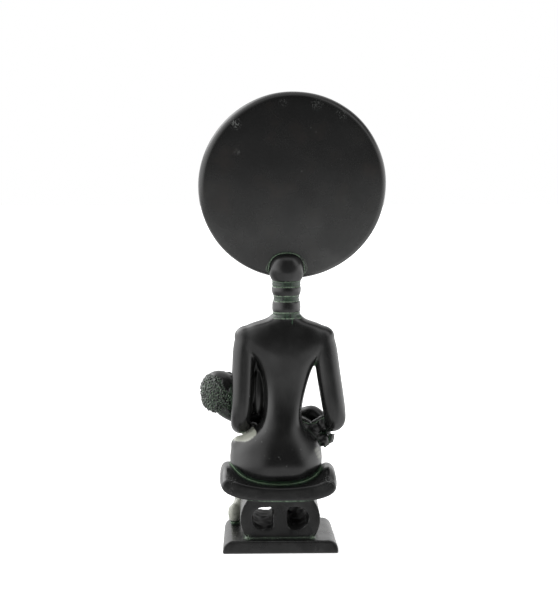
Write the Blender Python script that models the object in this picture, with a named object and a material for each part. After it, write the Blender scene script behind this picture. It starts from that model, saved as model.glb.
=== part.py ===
"""A seated mother and child with the round, flat head of an akuaba doll, cast in one with the stool.

The front of the figure faces -Y, its left hand is at +X, and the origin is the middle of the underside
of the stool's base. Lengths are in metres and angles in degrees. The body, the child and the face are
drawn in shares of the torso's height, the disc's face in shares of its radius.
"""

import bmesh
import bpy
import numpy as np
from math import cos, pi, radians, sin
from mathutils import Matrix, Vector

MM = 0.001

# Stool base
BASE_WIDTH = 70.0 * MM
BASE_FRONT_WIDTH = 67.6 * MM
BASE_DEPTH = 60.0 * MM
BASE_THICKNESS = 8.0 * MM
BASE_SHOULDER = 6.0 * MM

# Stool support, a barrel-shaped block with two openings through it
SUPPORT_WIDTH = 48.6 * MM
SUPPORT_END_WIDTH = 40.5 * MM
SUPPORT_DEPTH = 33.0 * MM
SUPPORT_HEIGHT = 23.5 * MM
SUPPORT_INSET = 6.5 * MM
PILLAR_WIDTH = 8.6 * MM
OPENING_WALL = 7.0 * MM
OPENING_FLOOR = 5.2 * MM
OPENING_CEILING = 4.3 * MM

# Stool seat, a dished slab whose two ends rise into rounded horns
SEAT_WIDTH = 71.4 * MM
SEAT_DEPTH = 42.0 * MM
SEAT_THICKNESS = 8.7 * MM
SEAT_HORN = 10.4 * MM
SEAT_FLANK = 1.8 * MM
SEAT_TILT = 1.0
SEAT_INSET = 1.0 * MM
SEAT_SHIFT = 1.0 * MM
SEAT_ROUNDING = 1.4 * MM
EDGE_ROUNDING = 0.8 * MM

# Figure
TORSO_HEIGHT = 101.0 * MM
BODY_INSET = 25.0 * MM
NECK_LENGTH = 23.0 * MM
NECK_RADIUS = 9.0 * MM
NAPE_RADIUS = 10.9 * MM
NAPE_RIM = 11.8 * MM
NAPE_RIM_THICKNESS = 0.8 * MM
DISC_RADIUS = 56.7 * MM
DISC_THICKNESS = 9.0 * MM
DISC_RIM = 4.0 * MM
DISC_LEAN_BACK = 6.0
DISC_TURN = 4.0
DISC_SHIFT = -3.6 * MM
DISC_SETBACK = 3.0 * MM
DISC_RISE = 0.3 * MM
NAPE_RISE = 6.5 * MM
NECK_ROOT = 4.0 * MM

# Fineness of the solid
LIMB_SIDES = 12
BLEND_VOXEL = 0.7 * MM
BLEND_PASSES = 8
BODY_TRIANGLES = 4900
DISC_SIDES = 64
DISC_RIM_STEPS = 7
NECK_SIDES = 36
NAPE_RIM_STEPS = 22
OVERLAP = 0.6 * MM

BASE_TOP = BASE_THICKNESS
BASE_BACK = BASE_DEPTH / 2
SEAT_UNDERSIDE = BASE_TOP + SUPPORT_HEIGHT
SEAT_TOP = SEAT_UNDERSIDE + SEAT_THICKNESS
SUPPORT_BACK = BASE_BACK - SUPPORT_INSET
SEAT_BACK = BASE_BACK - SEAT_INSET
SEAT_FRONT = SEAT_BACK - SEAT_DEPTH

# The body is drawn in hundredths of the torso's height, from a point on the middle of the seat's top.
SHARE = TORSO_HEIGHT / 100
BODY_ORIGIN = Vector((0, SEAT_BACK - BODY_INSET, SEAT_TOP))
NECK_TOP = BODY_ORIGIN + Vector((-4.1, 1.8, 100)) * SHARE + Vector((0, 0, NECK_LENGTH))


def body(x, y, z):
    """A point of the body, from shares of the torso's height."""
    return BODY_ORIGIN + Vector((x, y, z)) * SHARE


def clear_scene():
    for thing in list(bpy.data.objects):
        bpy.data.objects.remove(thing)


def resin():
    material = bpy.data.materials.new("black_resin")
    material.use_nodes = True
    shader = material.node_tree.nodes["Principled BSDF"]
    shader.inputs["Base Color"].default_value = (0.018, 0.019, 0.019, 1)
    shader.inputs["Roughness"].default_value = 0.42
    shader.inputs["Metallic"].default_value = 0.0
    return material


def new_object(name, mesh_builder, guide=True):
    """An object whose mesh is the builder's bmesh. A guide only shapes another object."""
    mesh = bpy.data.meshes.new(name)
    mesh_builder.normal_update()
    mesh_builder.to_mesh(mesh)
    mesh_builder.free()
    made = bpy.data.objects.new(name, mesh)
    bpy.context.scene.collection.objects.link(made)
    if guide:
        made.hide_render = True
        made.display_type = "WIRE"
    return made


def add_boolean(target, operation, other):
    modifier = target.modifiers.new(operation.lower() + "_" + other.name, "BOOLEAN")
    modifier.operation = operation
    modifier.solver = "EXACT"
    modifier.object = other


def add_loft(shape, rings, sides=LIMB_SIDES):
    """A closed skin through rings, each a centre, two half-axes and a fullness: 2 is round, more is squarer."""
    start = len(shape.verts)
    edges_before = None
    for centre, across, along, fullness in rings:
        normal = across.cross(along).normalized()
        frame = Matrix((across, along, normal)).transposed().to_4x4()
        frame.translation = centre
        made = bmesh.ops.create_circle(shape, cap_ends=False, segments=sides, radius=1)
        for vert in made["verts"]:
            x, y = (abs(t) ** (2 / fullness) * (1 if t > 0 else -1) for t in vert.co.xy)
            vert.co = frame @ Vector((x, y, 0))
        edges = list({edge for vert in made["verts"] for edge in vert.link_edges})
        if edges_before:
            bmesh.ops.bridge_loops(shape, edges=edges_before + edges)
        edges_before = [edge for edge in edges if edge.is_valid]
    shape.verts.ensure_lookup_table()
    own_edges = {edge for vert in shape.verts[start:] for edge in vert.link_edges}
    bmesh.ops.holes_fill(shape, edges=[edge for edge in own_edges if edge.is_boundary])


def add_tube(shape, centres, radii, sides=LIMB_SIDES):
    """A round tube along centres, with a radius at each."""
    across = None
    rings = []
    for index, radius in enumerate(radii):
        before = centres[max(index - 1, 0)]
        after = centres[min(index + 1, len(centres) - 1)]
        direction = (after - before).normalized()
        if across is None:
            across = direction.orthogonal()
        across = (across - direction * across.dot(direction)).normalized()
        along = direction.cross(across)
        rings.append((centres[index], across * radius, along * radius, 2))
    add_loft(shape, rings, sides)


def add_limb(shape, points):
    """A limb through (x, y, z, radius) points, drawn in shares."""
    centres = [body(x, y, z) for x, y, z, _ in points]
    add_tube(shape, centres, [radius * SHARE for _, _, _, radius in points])


def add_ball(shape, centre, radii, turn=(0, 0, 0), detail=3):
    """An ellipsoid, drawn in shares, turned about X, Y and Z."""
    frame = Matrix.Translation(body(*centre))
    for axis, angle in zip("ZYX", reversed(turn)):
        frame = frame @ Matrix.Rotation(radians(angle), 4, axis)
    frame = frame @ Matrix.Diagonal((*[radius * SHARE for radius in radii], 1))
    bmesh.ops.create_icosphere(shape, subdivisions=detail, radius=1, matrix=frame)


def add_torso(shape):
    sections = [
        # height, middle across, middle along, half width, half depth, and fullness where it isn't 2
        (-2.5, 1.5, 2.5, 14.0, 9.0),
        (1.5, 1.8, 2.5, 24.0, 14.0),
        (8.0, 2.1, 2.2, 27.8, 16.8),
        (15.0, 2.1, 1.8, 28.5, 17.2),
        (21.0, 2.1, 1.5, 27.6, 16.2),
        (25.5, 2.0, 1.5, 25.4, 14.6),
        (29.0, 0.8, 1.5, 19.6, 12.8),
        (34.0, -0.8, 1.5, 13.2, 10.8),
        (41.0, -1.8, 1.2, 11.4, 9.2),
        (50.0, -2.8, 1.2, 11.6, 8.8),
        (60.0, -3.8, 1.4, 13.2, 9.2),
        (70.0, -3.8, 1.8, 16.2, 9.8),
        (75.0, -4.6, 2.0, 19.6, 9.9, 2.4),
        (79.0, -4.0, 2.2, 22.0, 9.9, 2.8),
        (83.0, -3.4, 2.3, 24.2, 9.8, 3.2),
        (88.0, -3.2, 2.4, 25.2, 9.5, 3.2),
        (92.5, -3.0, 2.4, 25.5, 8.8, 2.8),
        (96.0, -2.8, 2.2, 22.4, 8.2, 2.3),
        (98.5, -3.2, 2.0, 13.2, 8.0),
        (100.6, -4.0, 1.9, 9.6, 7.8),
        (103.5, -4.1, 1.8, 8.0, 7.4),
    ]
    rings = []
    for z, x, y, width, depth, *fullness in sections:
        half_axes = Vector((width * SHARE, 0, 0)), Vector((0, depth * SHARE, 0))
        rings.append((body(x, y, z), *half_axes, *(fullness or [2])))
    add_loft(shape, rings, 24)


def add_arms(shape):
    """Arms that hang from square shoulders, then run forward under the child."""
    left = [
        (8.0, 2.4, 91.0, 5.5),
        (15.5, 2.4, 90.0, 7.0),
        (20.4, 2.4, 87.5, 7.6),
        (21.4, 2.2, 80.0, 7.3),
        (21.9, 2.0, 70.0, 7.1),
        (22.6, 1.5, 52.0, 7.0),
        (23.2, 1.0, 40.0, 6.6),
        (23.2, -1.5, 33.8, 6.6),
        (24.0, -10.0, 32.0, 5.8),
        (22.0, -20.0, 31.5, 4.8),
        (16.0, -28.5, 32.5, 3.8),
        (9.5, -32.0, 34.0, 3.4),
    ]
    right = [
        (-15.0, 2.4, 91.0, 5.5),
        (-21.5, 2.4, 90.0, 7.0),
        (-26.4, 2.4, 87.0, 7.6),
        (-27.7, 2.2, 80.0, 7.7),
        (-28.9, 2.0, 70.0, 7.6),
        (-31.4, 1.5, 54.0, 7.6),
        (-33.6, 1.0, 41.0, 7.2),
        (-34.2, -1.2, 35.6, 6.8),
        (-33.0, -9.0, 33.0, 5.8),
        (-26.5, -18.5, 31.0, 4.8),
        (-19.0, -26.0, 29.5, 3.8),
        (-12.5, -30.5, 29.5, 3.4),
    ]
    add_limb(shape, left)
    add_limb(shape, right)
    add_ball(shape, (20.2, 2.4, 88.1), (7.2, 7.2, 7.2))
    add_ball(shape, (-26.2, 2.4, 87.9), (7.2, 7.2, 7.2))
    add_ball(shape, (17.0, -6.5, 46.0), (4.8, 4.4, 7.2))
    add_ball(shape, (17.5, -5.5, 31.5), (5.7, 4.8, 3.8))


def add_legs(shape):
    """Thighs along the seat, shins that hang just in front of it and feet flat on the base."""
    ground = (BASE_TOP - SEAT_TOP) / SHARE
    front = (SEAT_FRONT - BODY_ORIGIN.y) / SHARE
    for side, hip, knee, ankle, heel in ((1, 12.5, 18.5, 22.2, 27.3), (-1, -9.0, -13.2, -12.6, -12.4)):
        leg = [
            (hip, 2.0, 15.0, 12.5),
            (hip * 0.6 + knee * 0.4, front * 0.6, 14.5, 12.0),
            (hip * 0.2 + knee * 0.8, front - 4.5, 14.0, 10.4),
            (knee, front - 12.0, 11.0, 8.8),
            (knee * 0.9 + heel * 0.1, front - 13.8, 2.0, 7.6),
            (knee * 0.7 + heel * 0.3, front - 12.0, ground * 0.30, 6.4),
            (ankle, front - 6.0, ground * 0.58, 4.8),
            (ankle * 0.3 + heel * 0.7, front - 3.2, ground + 9.4, 4.3),
            (heel, front - 2.0, ground + 4.4, 4.6),
        ]
        foot = [
            (heel, front - 1.2, ground + 3.0, 3.8),
            (heel - side * 0.2, front - 6.0, ground + 3.8, 4.4),
            (heel - side * 0.4, front - 10.5, ground + 2.4, 4.0),
            (heel - side * 0.5, front - 13.6, ground + 1.6, 2.8),
        ]
        add_limb(shape, leg)
        add_limb(shape, foot)


def add_breasts(shape):
    left = [(14.0, 0.0, 79.0, 4.6), (12.5, -5.5, 70.0, 6.0), (10.0, -9.5, 61.0, 6.8), (9.0, -12.5, 55.0, 5.4)]
    right = [(-17.5, 0.0, 79.0, 4.6), (-14.0, -5.5, 71.0, 6.0), (-11.6, -9.5, 63.0, 6.8), (-11.0, -12.8, 57.5, 5.4)]
    for breast in (left, right):
        add_limb(shape, breast)
        x, y, z, radius = breast[-1]
        add_ball(shape, (x, y, z), (radius, radius, radius))
        add_ball(shape, (x, y - radius * 0.8, z - radius * 0.45), (1.9, 2.2, 1.9))


def add_child(shape):
    """A child on its back across the lap, its head against the figure's left arm."""
    trunk = [
        (-12.0, -17.0, 32.5, 6.0),
        (-7.0, -18.5, 34.0, 8.4),
        (3.0, -19.5, 34.5, 8.8),
        (12.5, -18.5, 36.0, 8.8),
        (20.0, -15.5, 36.8, 7.4),
        (26.5, -12.0, 38.5, 6.0),
        (32.6, -11.0, 42.6, 7.0),
        (36.5, -11.0, 48.0, 7.0),
    ]
    near_leg = [
        (-8.0, -14.5, 32.5, 6.6),
        (-13.5, -11.0, 31.5, 5.9),
        (-19.0, -9.0, 29.8, 5.4),
        (-22.0, -8.0, 25.5, 4.2),
        (-23.4, -7.4, 21.5, 3.4),
    ]
    near_foot = [
        (-22.6, -7.4, 20.6, 3.3),
        (-25.4, -7.0, 23.2, 4.4),
        (-28.8, -6.8, 24.4, 4.4),
        (-30.8, -6.8, 24.6, 3.4),
    ]
    far_leg = [
        (-8.0, -21.5, 33.0, 7.0),
        (-14.5, -22.0, 34.2, 6.2),
        (-21.0, -21.5, 36.6, 6.4),
        (-26.4, -18.8, 33.6, 5.2),
        (-29.0, -15.5, 26.5, 3.6),
        (-29.5, -14.5, 22.0, 3.2),
    ]
    far_foot = [(-28.5, -14.5, 20.8, 3.0), (-31.0, -14.5, 22.0, 3.3), (-33.4, -14.5, 23.2, 2.6)]
    near_arm = [
        (21.0, -9.5, 41.0, 4.6),
        (17.0, -7.5, 46.5, 3.9),
        (13.5, -9.0, 53.0, 3.3),
        (10.5, -13.0, 58.0, 2.8),
    ]
    far_arm = [
        (20.0, -21.5, 41.0, 4.4),
        (14.0, -26.0, 42.5, 3.8),
        (8.5, -25.5, 46.5, 3.2),
        (6.0, -21.0, 51.0, 2.8),
    ]
    for limb in (trunk, near_leg, near_foot, far_leg, far_foot, near_arm, far_arm):
        add_limb(shape, limb)
    add_ball(shape, (36.2, -11.5, 53.2), (11.9, 11.4, 12.3), (0, 20, 0))
    add_ball(shape, (38.0, -11.0, 48.8), (9.4, 9.2, 9.2))
    add_ball(shape, (31.0, -14.0, 63.0), (2.2, 2.6, 2.0))


def add_hands(shape):
    add_ball(shape, (4.5, -32.0, 35.0), (7.0, 2.6, 4.6), (0, 8, -8))
    add_ball(shape, (-7.5, -31.0, 30.5), (7.0, 2.6, 4.6), (0, -10, 8))


def disc_frame():
    """Where the disc stands: its own X across, Y through its thickness and Z up."""
    centre = NECK_TOP + Vector((DISC_SHIFT, DISC_SETBACK, DISC_RISE + DISC_RADIUS))
    turn = Matrix.Rotation(radians(DISC_TURN), 4, "Z")
    lean = Matrix.Rotation(radians(-DISC_LEAN_BACK), 4, "X")
    return Matrix.Translation(centre) @ turn @ lean


def on_face(x, z, lift=0.0):
    """A point over the disc's front, from shares of its radius, with its height off the front."""
    front = -DISC_THICKNESS / 2 - lift
    return disc_frame() @ Vector((x * DISC_RADIUS, front, z * DISC_RADIUS))


def add_face(shape):
    """Arched brows that run into a long nose, closed eyes and a small mouth, low on the disc."""
    arc = np.linspace(-10, 200, 11)
    swell = [DISC_RADIUS * (0.020 + 0.020 * sin(radians(share))) for share in np.linspace(0, 180, 11)]
    for side in (-1, 1):
        brow = [
            on_face(side * (0.205 + 0.185 * cos(radians(180 - a))), -0.30 + 0.185 * sin(radians(a)))
            for a in arc
        ]
        add_tube(shape, brow, swell)
        eye = [on_face(side * (0.205 + t), -0.33 - 0.30 * t * t) for t in (-0.125, -0.07, 0, 0.07, 0.125)]
        add_tube(shape, eye, [DISC_RADIUS * r for r in (0.012, 0.045, 0.055, 0.045, 0.012)])
    ridge = [(-0.20, -0.010, 0.034), (-0.34, 0.010, 0.042), (-0.47, 0.024, 0.064), (-0.53, 0.010, 0.052)]
    nose = [on_face(0, z, lift * DISC_RADIUS) for z, lift, _ in ridge]
    add_tube(shape, nose, [DISC_RADIUS * radius for _, _, radius in ridge])
    lips = [on_face(x, -0.645 - 0.4 * x * x) for x in (-0.085, -0.045, 0, 0.045, 0.085)]
    add_tube(shape, lips, [DISC_RADIUS * r for r in (0.015, 0.036, 0.044, 0.036, 0.015)])


def nape_middle():
    return NECK_TOP + Vector((0, NAPE_RADIUS * 0.25, NAPE_RISE))


def add_nape(shape):
    """The round core of the head, between the neck and the disc."""
    frame = Matrix.Translation(nape_middle())
    frame = frame @ Matrix.Diagonal((NAPE_RADIUS, NAPE_RADIUS * 0.93, NAPE_RADIUS * 1.03, 1))
    bmesh.ops.create_icosphere(shape, subdivisions=3, radius=1, matrix=frame)


def make_nape_rim():
    """A raised rim on the disc's back round the nape, thicker at the figure's right."""
    shape = bmesh.new()
    middle = disc_frame().inverted() @ nape_middle()
    back = DISC_THICKNESS / 2 + 0.2 * MM
    centres = []
    radii = []
    for angle in np.linspace(-10, 190, NAPE_RIM_STEPS):
        swell = max(0, sin(radians(angle - 120) * 2.6)) if 120 < angle < 189 else 0
        ends = max(0, -sin(radians(angle))) * 10 * MM
        out = NAPE_RIM - ends + 0.4 * MM * swell
        place = middle + Vector((out * cos(radians(angle)), 0, out * sin(radians(angle))))
        centres.append(disc_frame() @ Vector((place.x, back, place.z)))
        radii.append(NAPE_RIM_THICKNESS * (1 + 0.8 * swell))
    add_tube(shape, centres, radii, 6)
    bmesh.ops.recalc_face_normals(shape, faces=shape.faces)
    return new_object("nape_rim", shape)


def make_disc():
    """The flat round head: a turned lens with a rounded rim."""
    shape = bmesh.new()
    half = DISC_THICKNESS / 2
    dome = 0.12 * DISC_THICKNESS
    rim_start = DISC_RADIUS - DISC_RIM
    profile = [Vector((0, dome + half, 0)), Vector((rim_start * 0.5, dome * 0.75 + half, 0))]
    for angle in np.linspace(90, -90, DISC_RIM_STEPS):
        out = DISC_RIM * cos(radians(angle))
        profile.append(Vector((rim_start + out, half * sin(radians(angle)), 0)))
    profile.append(Vector((0, -half, 0)))
    verts = [shape.verts.new(point) for point in profile]
    edges = [shape.edges.new(pair) for pair in zip(verts, verts[1:])]
    bmesh.ops.spin(
        shape, geom=verts + edges, cent=(0, 0, 0), axis=(0, 1, 0), angle=2 * pi,
        steps=DISC_SIDES, use_merge=True,
    )
    bmesh.ops.remove_doubles(shape, verts=shape.verts, dist=0.01 * MM)
    bmesh.ops.recalc_face_normals(shape, faces=shape.faces)
    bmesh.ops.transform(shape, matrix=disc_frame(), verts=shape.verts)
    return new_object("disc_head", shape)


def neck_profile():
    """(height, radius) down the neck: two swelling rings between narrow collars."""
    parts = [("collar", 0.155), ("ring", 0.290), ("band", 0.145), ("ring", 0.245), ("collar", 0.165)]
    points = []
    base = 0.0
    for kind, share in parts:
        tall = share * NECK_LENGTH
        if kind == "ring":
            steps = [(t, 0.90 + 0.10 * sin(pi * t)) for t in (0.06, 0.25, 0.5, 0.75, 0.94)]
        elif kind == "collar":
            steps = [(0.0, 0.89), (0.2, 0.945), (0.44, 0.945), (0.5, 0.915), (0.56, 0.945), (0.8, 0.945), (1.0, 0.89)]
        else:
            steps = [(0.0, 0.845), (0.45, 0.855), (0.5, 0.83), (0.55, 0.855), (1.0, 0.845)]
        points += [(base + t * tall, radius * NECK_RADIUS) for t, radius in steps]
        base += tall
    return points


def make_neck():
    shape = bmesh.new()
    foot = NECK_TOP - Vector((0, 0, NECK_LENGTH))
    heights = neck_profile()
    points = [(-NECK_ROOT, 0), (-NECK_ROOT, heights[0][1]), *heights]
    points += [(NECK_LENGTH + NECK_ROOT, heights[-1][1]), (NECK_LENGTH + NECK_ROOT, 0)]
    verts = [shape.verts.new(foot + Vector((radius, 0, z))) for z, radius in points]
    edges = [shape.edges.new(pair) for pair in zip(verts, verts[1:])]
    bmesh.ops.spin(
        shape, geom=verts + edges, cent=foot, axis=(0, 0, 1), angle=2 * pi,
        steps=NECK_SIDES, use_merge=True,
    )
    bmesh.ops.remove_doubles(shape, verts=shape.verts, dist=0.01 * MM)
    bmesh.ops.recalc_face_normals(shape, faces=shape.faces)
    return new_object("neck", shape)


def slab(name, outline, back, depth, rounding=0.0, taper=1.0):
    """A closed outline of (x, z) points carried forward from back, with its two rims rounded."""
    shape = bmesh.new()
    face = shape.faces.new([shape.verts.new((x, back, z)) for x, z in outline])
    carried = bmesh.ops.extrude_face_region(shape, geom=[face])["geom"]
    front = [part for part in carried if isinstance(part, bmesh.types.BMVert)]
    bmesh.ops.translate(shape, verts=front, vec=(0, -depth, 0))
    bmesh.ops.scale(shape, verts=front, vec=(taper, 1, 1))
    bmesh.ops.recalc_face_normals(shape, faces=shape.faces)
    if rounding:
        rims = [edge for edge in shape.edges if abs(edge.verts[0].co.y - edge.verts[1].co.y) < depth / 2]
        bmesh.ops.bevel(
            shape, geom=rims, offset=rounding, affect="EDGES", segments=2, profile=0.5, clamp_overlap=True,
        )
    return new_object(name, shape)


def base_outline():
    """A flat plate whose two upper corners are rounded."""
    half = BASE_WIDTH / 2
    corner = half - BASE_SHOULDER
    steps = [radians(angle) for angle in np.linspace(0, 90, 6)]
    tall = min(BASE_SHOULDER, BASE_THICKNESS - EDGE_ROUNDING)
    right = [
        (corner + BASE_SHOULDER * cos(a), BASE_TOP - tall + tall * sin(a)) for a in steps
    ]
    left = [(-x, z) for x, z in reversed(right)]
    return [(-half, 0), (half, 0), *right, *left]


def support_outline():
    """A barrel side on: flat above and below, bowed at the sides."""
    bow = (SUPPORT_WIDTH - SUPPORT_END_WIDTH) / 2
    low = BASE_TOP - OVERLAP
    high = SEAT_UNDERSIDE + SEAT_THICKNESS * 0.4
    right = []
    for share in np.linspace(0, 1, 9):
        z = BASE_TOP + share * SUPPORT_HEIGHT
        right.append((SUPPORT_END_WIDTH / 2 + bow * (1 - (2 * share - 1) ** 2), z))
    ends = [(SUPPORT_END_WIDTH / 2, high), (-SUPPORT_END_WIDTH / 2, high)]
    left = [(-x, z) for x, z in reversed(right)]
    corners = [(-SUPPORT_END_WIDTH / 2, low), (SUPPORT_END_WIDTH / 2, low)]
    return [*corners, *right, *ends, *left]


def opening_outline(side):
    """A D with its straight side against the pillar."""
    straight = PILLAR_WIDTH / 2
    width = SUPPORT_WIDTH / 2 - OPENING_WALL - straight
    tall = (SUPPORT_HEIGHT - OPENING_FLOOR - OPENING_CEILING) / 2
    middle = BASE_TOP + OPENING_FLOOR + tall
    bulge = min(tall, width * 0.6)
    arc = [
        (straight + width - bulge + bulge * cos(radians(a)), middle + tall * sin(radians(a)))
        for a in np.linspace(-90, 90, 9)
    ]
    corner = 0.24 * tall
    flat = [
        (straight + corner, middle + tall), (straight, middle + tall - corner),
        (straight, middle - tall + corner), (straight + corner, middle - tall),
    ]
    return [(side * x, z) for x, z in arc + flat]


def seat_outline(width, rise, inset):
    """Round the seat at one place along its depth: a full underside, two horns, a dished top."""
    half = SEAT_WIDTH / 2
    level = SEAT_TOP + SEAT_FLANK
    deep = level - SEAT_UNDERSIDE
    fullness = 2 / 2.5
    points = []
    for angle in np.linspace(180, 360, 21)[1:-1]:
        a = radians(angle)
        reach = abs(cos(a)) ** fullness * (1 if cos(a) > 0 else -1)
        points.append((half * reach, level - deep * abs(sin(a)) ** fullness))
    horn = [
        # shares of the half width and of the horn's rise, from the flank over the horn to the middle
        (0.997, 0.19), (0.989, 0.50), (0.964, 0.76), (0.924, 0.92), (0.874, 1.0), (0.818, 0.99),
        (0.768, 0.885), (0.717, 0.72), (0.616, 0.48), (0.476, 0.28), (0.308, 0.115), (0.154, 0.034), (0, 0),
    ]
    right = [(half * x, SEAT_TOP + SEAT_HORN * rise * z) for x, z in horn]
    points += right + [(-x, z) for x, z in reversed(right[:-1])]
    lift = sin(radians(SEAT_TILT))
    placed = [Vector((SEAT_SHIFT + x * width, z + x * lift)) for x, z in points]
    drawn_in = []
    for before, point, after in zip(placed[-1:] + placed[:-1], placed, placed[1:] + placed[:1]):
        ahead = (after - before).normalized()
        drawn_in.append(point + Vector((-ahead.y, ahead.x)) * inset)
    return drawn_in


def make_seat():
    """The seat's outline carried forward; the horns are highest in the middle of its depth."""
    stations = [
        # share of the depth, width, rise of the horns, share of the rounding taken off
        (0.0, 0.972, 0.45, 0.9),
        (0.012, 0.973, 0.46, 0.35),
        (0.036, 0.976, 0.48, 0.0),
        (0.12, 0.985, 0.66, 0.0),
        (0.22, 0.996, 0.86, 0.0),
        (0.35, 1.0, 1.0, 0.0),
        (0.62, 1.0, 1.0, 0.0),
        (0.80, 0.996, 0.90, 0.0),
        (0.965, 0.976, 0.62, 0.0),
        (1.0, 0.972, 0.56, 0.9),
    ]
    shape = bmesh.new()
    before = None
    for along, width, rise, rounding in stations:
        y = SEAT_BACK - along * SEAT_DEPTH
        outline = seat_outline(width, rise, rounding * SEAT_ROUNDING)
        face = shape.faces.new([shape.verts.new((x, y, z)) for x, z in outline])
        edges = list(face.edges)
        if before:
            bmesh.ops.bridge_loops(shape, edges=before + edges)
        if 0 < along < 1:
            bmesh.ops.delete(shape, geom=[face], context="FACES_ONLY")
        before = edges
    bmesh.ops.recalc_face_normals(shape, faces=shape.faces)
    return new_object("stool_seat", shape)


def make_stool():
    taper = BASE_FRONT_WIDTH / BASE_WIDTH
    base = slab("stool_base", base_outline(), BASE_BACK, BASE_DEPTH, EDGE_ROUNDING, taper)
    support = slab("stool_support", support_outline(), SUPPORT_BACK, SUPPORT_DEPTH)
    for name, side in (("left_opening", 1), ("right_opening", -1)):
        opening = slab(name, opening_outline(side), SUPPORT_BACK + MM, SUPPORT_DEPTH + 2 * MM)
        add_boolean(support, "DIFFERENCE", opening)
    add_boolean(base, "UNION", support)
    add_boolean(base, "UNION", make_seat())
    return base


def make_body():
    """The limbs as one skin, blended where they meet."""
    shape = bmesh.new()
    for add_part in (add_torso, add_arms, add_legs, add_breasts, add_child, add_hands, add_nape, add_face):
        add_part(shape)
    bmesh.ops.recalc_face_normals(shape, faces=shape.faces)
    figure = new_object("akuaba_figure", shape, guide=False)
    smooth = figure.modifiers.new("round_the_sections", "SUBSURF")
    smooth.levels = 2
    smooth.render_levels = 2
    fuse = figure.modifiers.new("fuse_the_limbs", "REMESH")
    fuse.mode = "VOXEL"
    fuse.voxel_size = BLEND_VOXEL
    blend = figure.modifiers.new("blend_the_creases", "SMOOTH")
    blend.factor = 0.5
    blend.iterations = BLEND_PASSES
    thin = figure.modifiers.new("thin_the_faces", "DECIMATE")
    thin.use_collapse_triangulate = True
    thin.show_viewport = False
    depsgraph = bpy.context.evaluated_depsgraph_get()
    dense = figure.evaluated_get(depsgraph).to_mesh()
    dense.calc_loop_triangles()
    thin.ratio = min(1, BODY_TRIANGLES / len(dense.loop_triangles))
    thin.show_viewport = True
    return figure


def main():
    clear_scene()
    figure = make_body()
    for solid in (make_neck(), make_disc(), make_nape_rim(), make_stool()):
        add_boolean(figure, "UNION", solid)
    figure.data.materials.append(resin())


main()
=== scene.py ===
from math import cos, exp, pi, radians, sin

import bmesh
import bpy
import numpy as np
from mathutils import Matrix, Vector, noise


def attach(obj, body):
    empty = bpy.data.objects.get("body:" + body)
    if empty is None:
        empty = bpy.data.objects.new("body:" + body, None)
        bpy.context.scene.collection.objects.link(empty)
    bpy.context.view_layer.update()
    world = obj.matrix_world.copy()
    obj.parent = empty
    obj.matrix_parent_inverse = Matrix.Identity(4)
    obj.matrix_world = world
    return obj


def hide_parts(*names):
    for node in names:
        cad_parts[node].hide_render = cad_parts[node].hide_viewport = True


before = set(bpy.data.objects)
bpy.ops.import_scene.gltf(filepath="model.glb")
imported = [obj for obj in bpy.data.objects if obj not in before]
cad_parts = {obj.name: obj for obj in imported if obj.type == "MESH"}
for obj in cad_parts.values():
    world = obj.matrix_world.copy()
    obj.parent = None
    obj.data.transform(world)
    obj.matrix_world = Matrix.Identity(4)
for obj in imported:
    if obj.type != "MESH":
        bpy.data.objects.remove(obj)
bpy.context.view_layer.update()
mm = 0.001
print("frame loaded")


# Mesh helpers
def meshObject(name, shape):
    mesh = bpy.data.meshes.new(name)
    shape.normal_update()
    shape.to_mesh(mesh)
    shape.free()
    made = bpy.data.objects.new(name, mesh)
    bpy.context.scene.collection.objects.link(made)
    return made


def addModifier(piece, kind, **settings):
    modifier = piece.modifiers.new(kind.lower(), kind)
    for name, value in settings.items():
        setattr(modifier, name, value)
    return modifier


def bake(piece):
    # makes the modifiers real, so that the next step starts from a plain mesh
    depsgraph = bpy.context.evaluated_depsgraph_get()
    mesh = bpy.data.meshes.new_from_object(piece.evaluated_get(depsgraph))
    before = piece.data
    piece.modifiers.clear()
    piece.data = mesh
    bpy.data.meshes.remove(before)
    return piece


def join(piece, other, operation="UNION"):
    addModifier(piece, "BOOLEAN", operation=operation, solver="EXACT", object=other)
    bake(piece)
    bpy.data.objects.remove(other)
    return piece


def thin(piece, triangles):
    piece.data.calc_loop_triangles()
    share = min(1, triangles / len(piece.data.loop_triangles))
    addModifier(piece, "DECIMATE", ratio=share, use_collapse_triangulate=True)
    return bake(piece)


def skin(name, shape, voxel, passes, rounding=2):
    # closed shapes become one skin, soft where they meet
    bmesh.ops.recalc_face_normals(shape, faces=shape.faces)
    piece = meshObject(name, shape)
    if rounding:
        addModifier(piece, "SUBSURF", levels=rounding, render_levels=rounding)
    addModifier(piece, "REMESH", mode="VOXEL", voxel_size=voxel)
    addModifier(piece, "SMOOTH", factor=0.5, iterations=passes)
    return bake(piece)


def moveOut(piece, amount):
    # pushes each vertex along its normal by amount(place, normal)
    shape = bmesh.new()
    shape.from_mesh(piece.data)
    shape.normal_update()
    for vert, shift in [(vert, vert.normal * amount(vert.co, vert.normal)) for vert in shape.verts]:
        vert.co += shift
    shape.to_mesh(piece.data)
    shape.free()
    return piece


def dropSlivers(piece):
    # closes the edges that the joins left far shorter than anything that shows
    shape = bmesh.new()
    shape.from_mesh(piece.data)
    bmesh.ops.dissolve_degenerate(shape, dist=0.001 * mm, edges=shape.edges)
    shape.to_mesh(piece.data)
    shape.free()
    return piece


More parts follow.
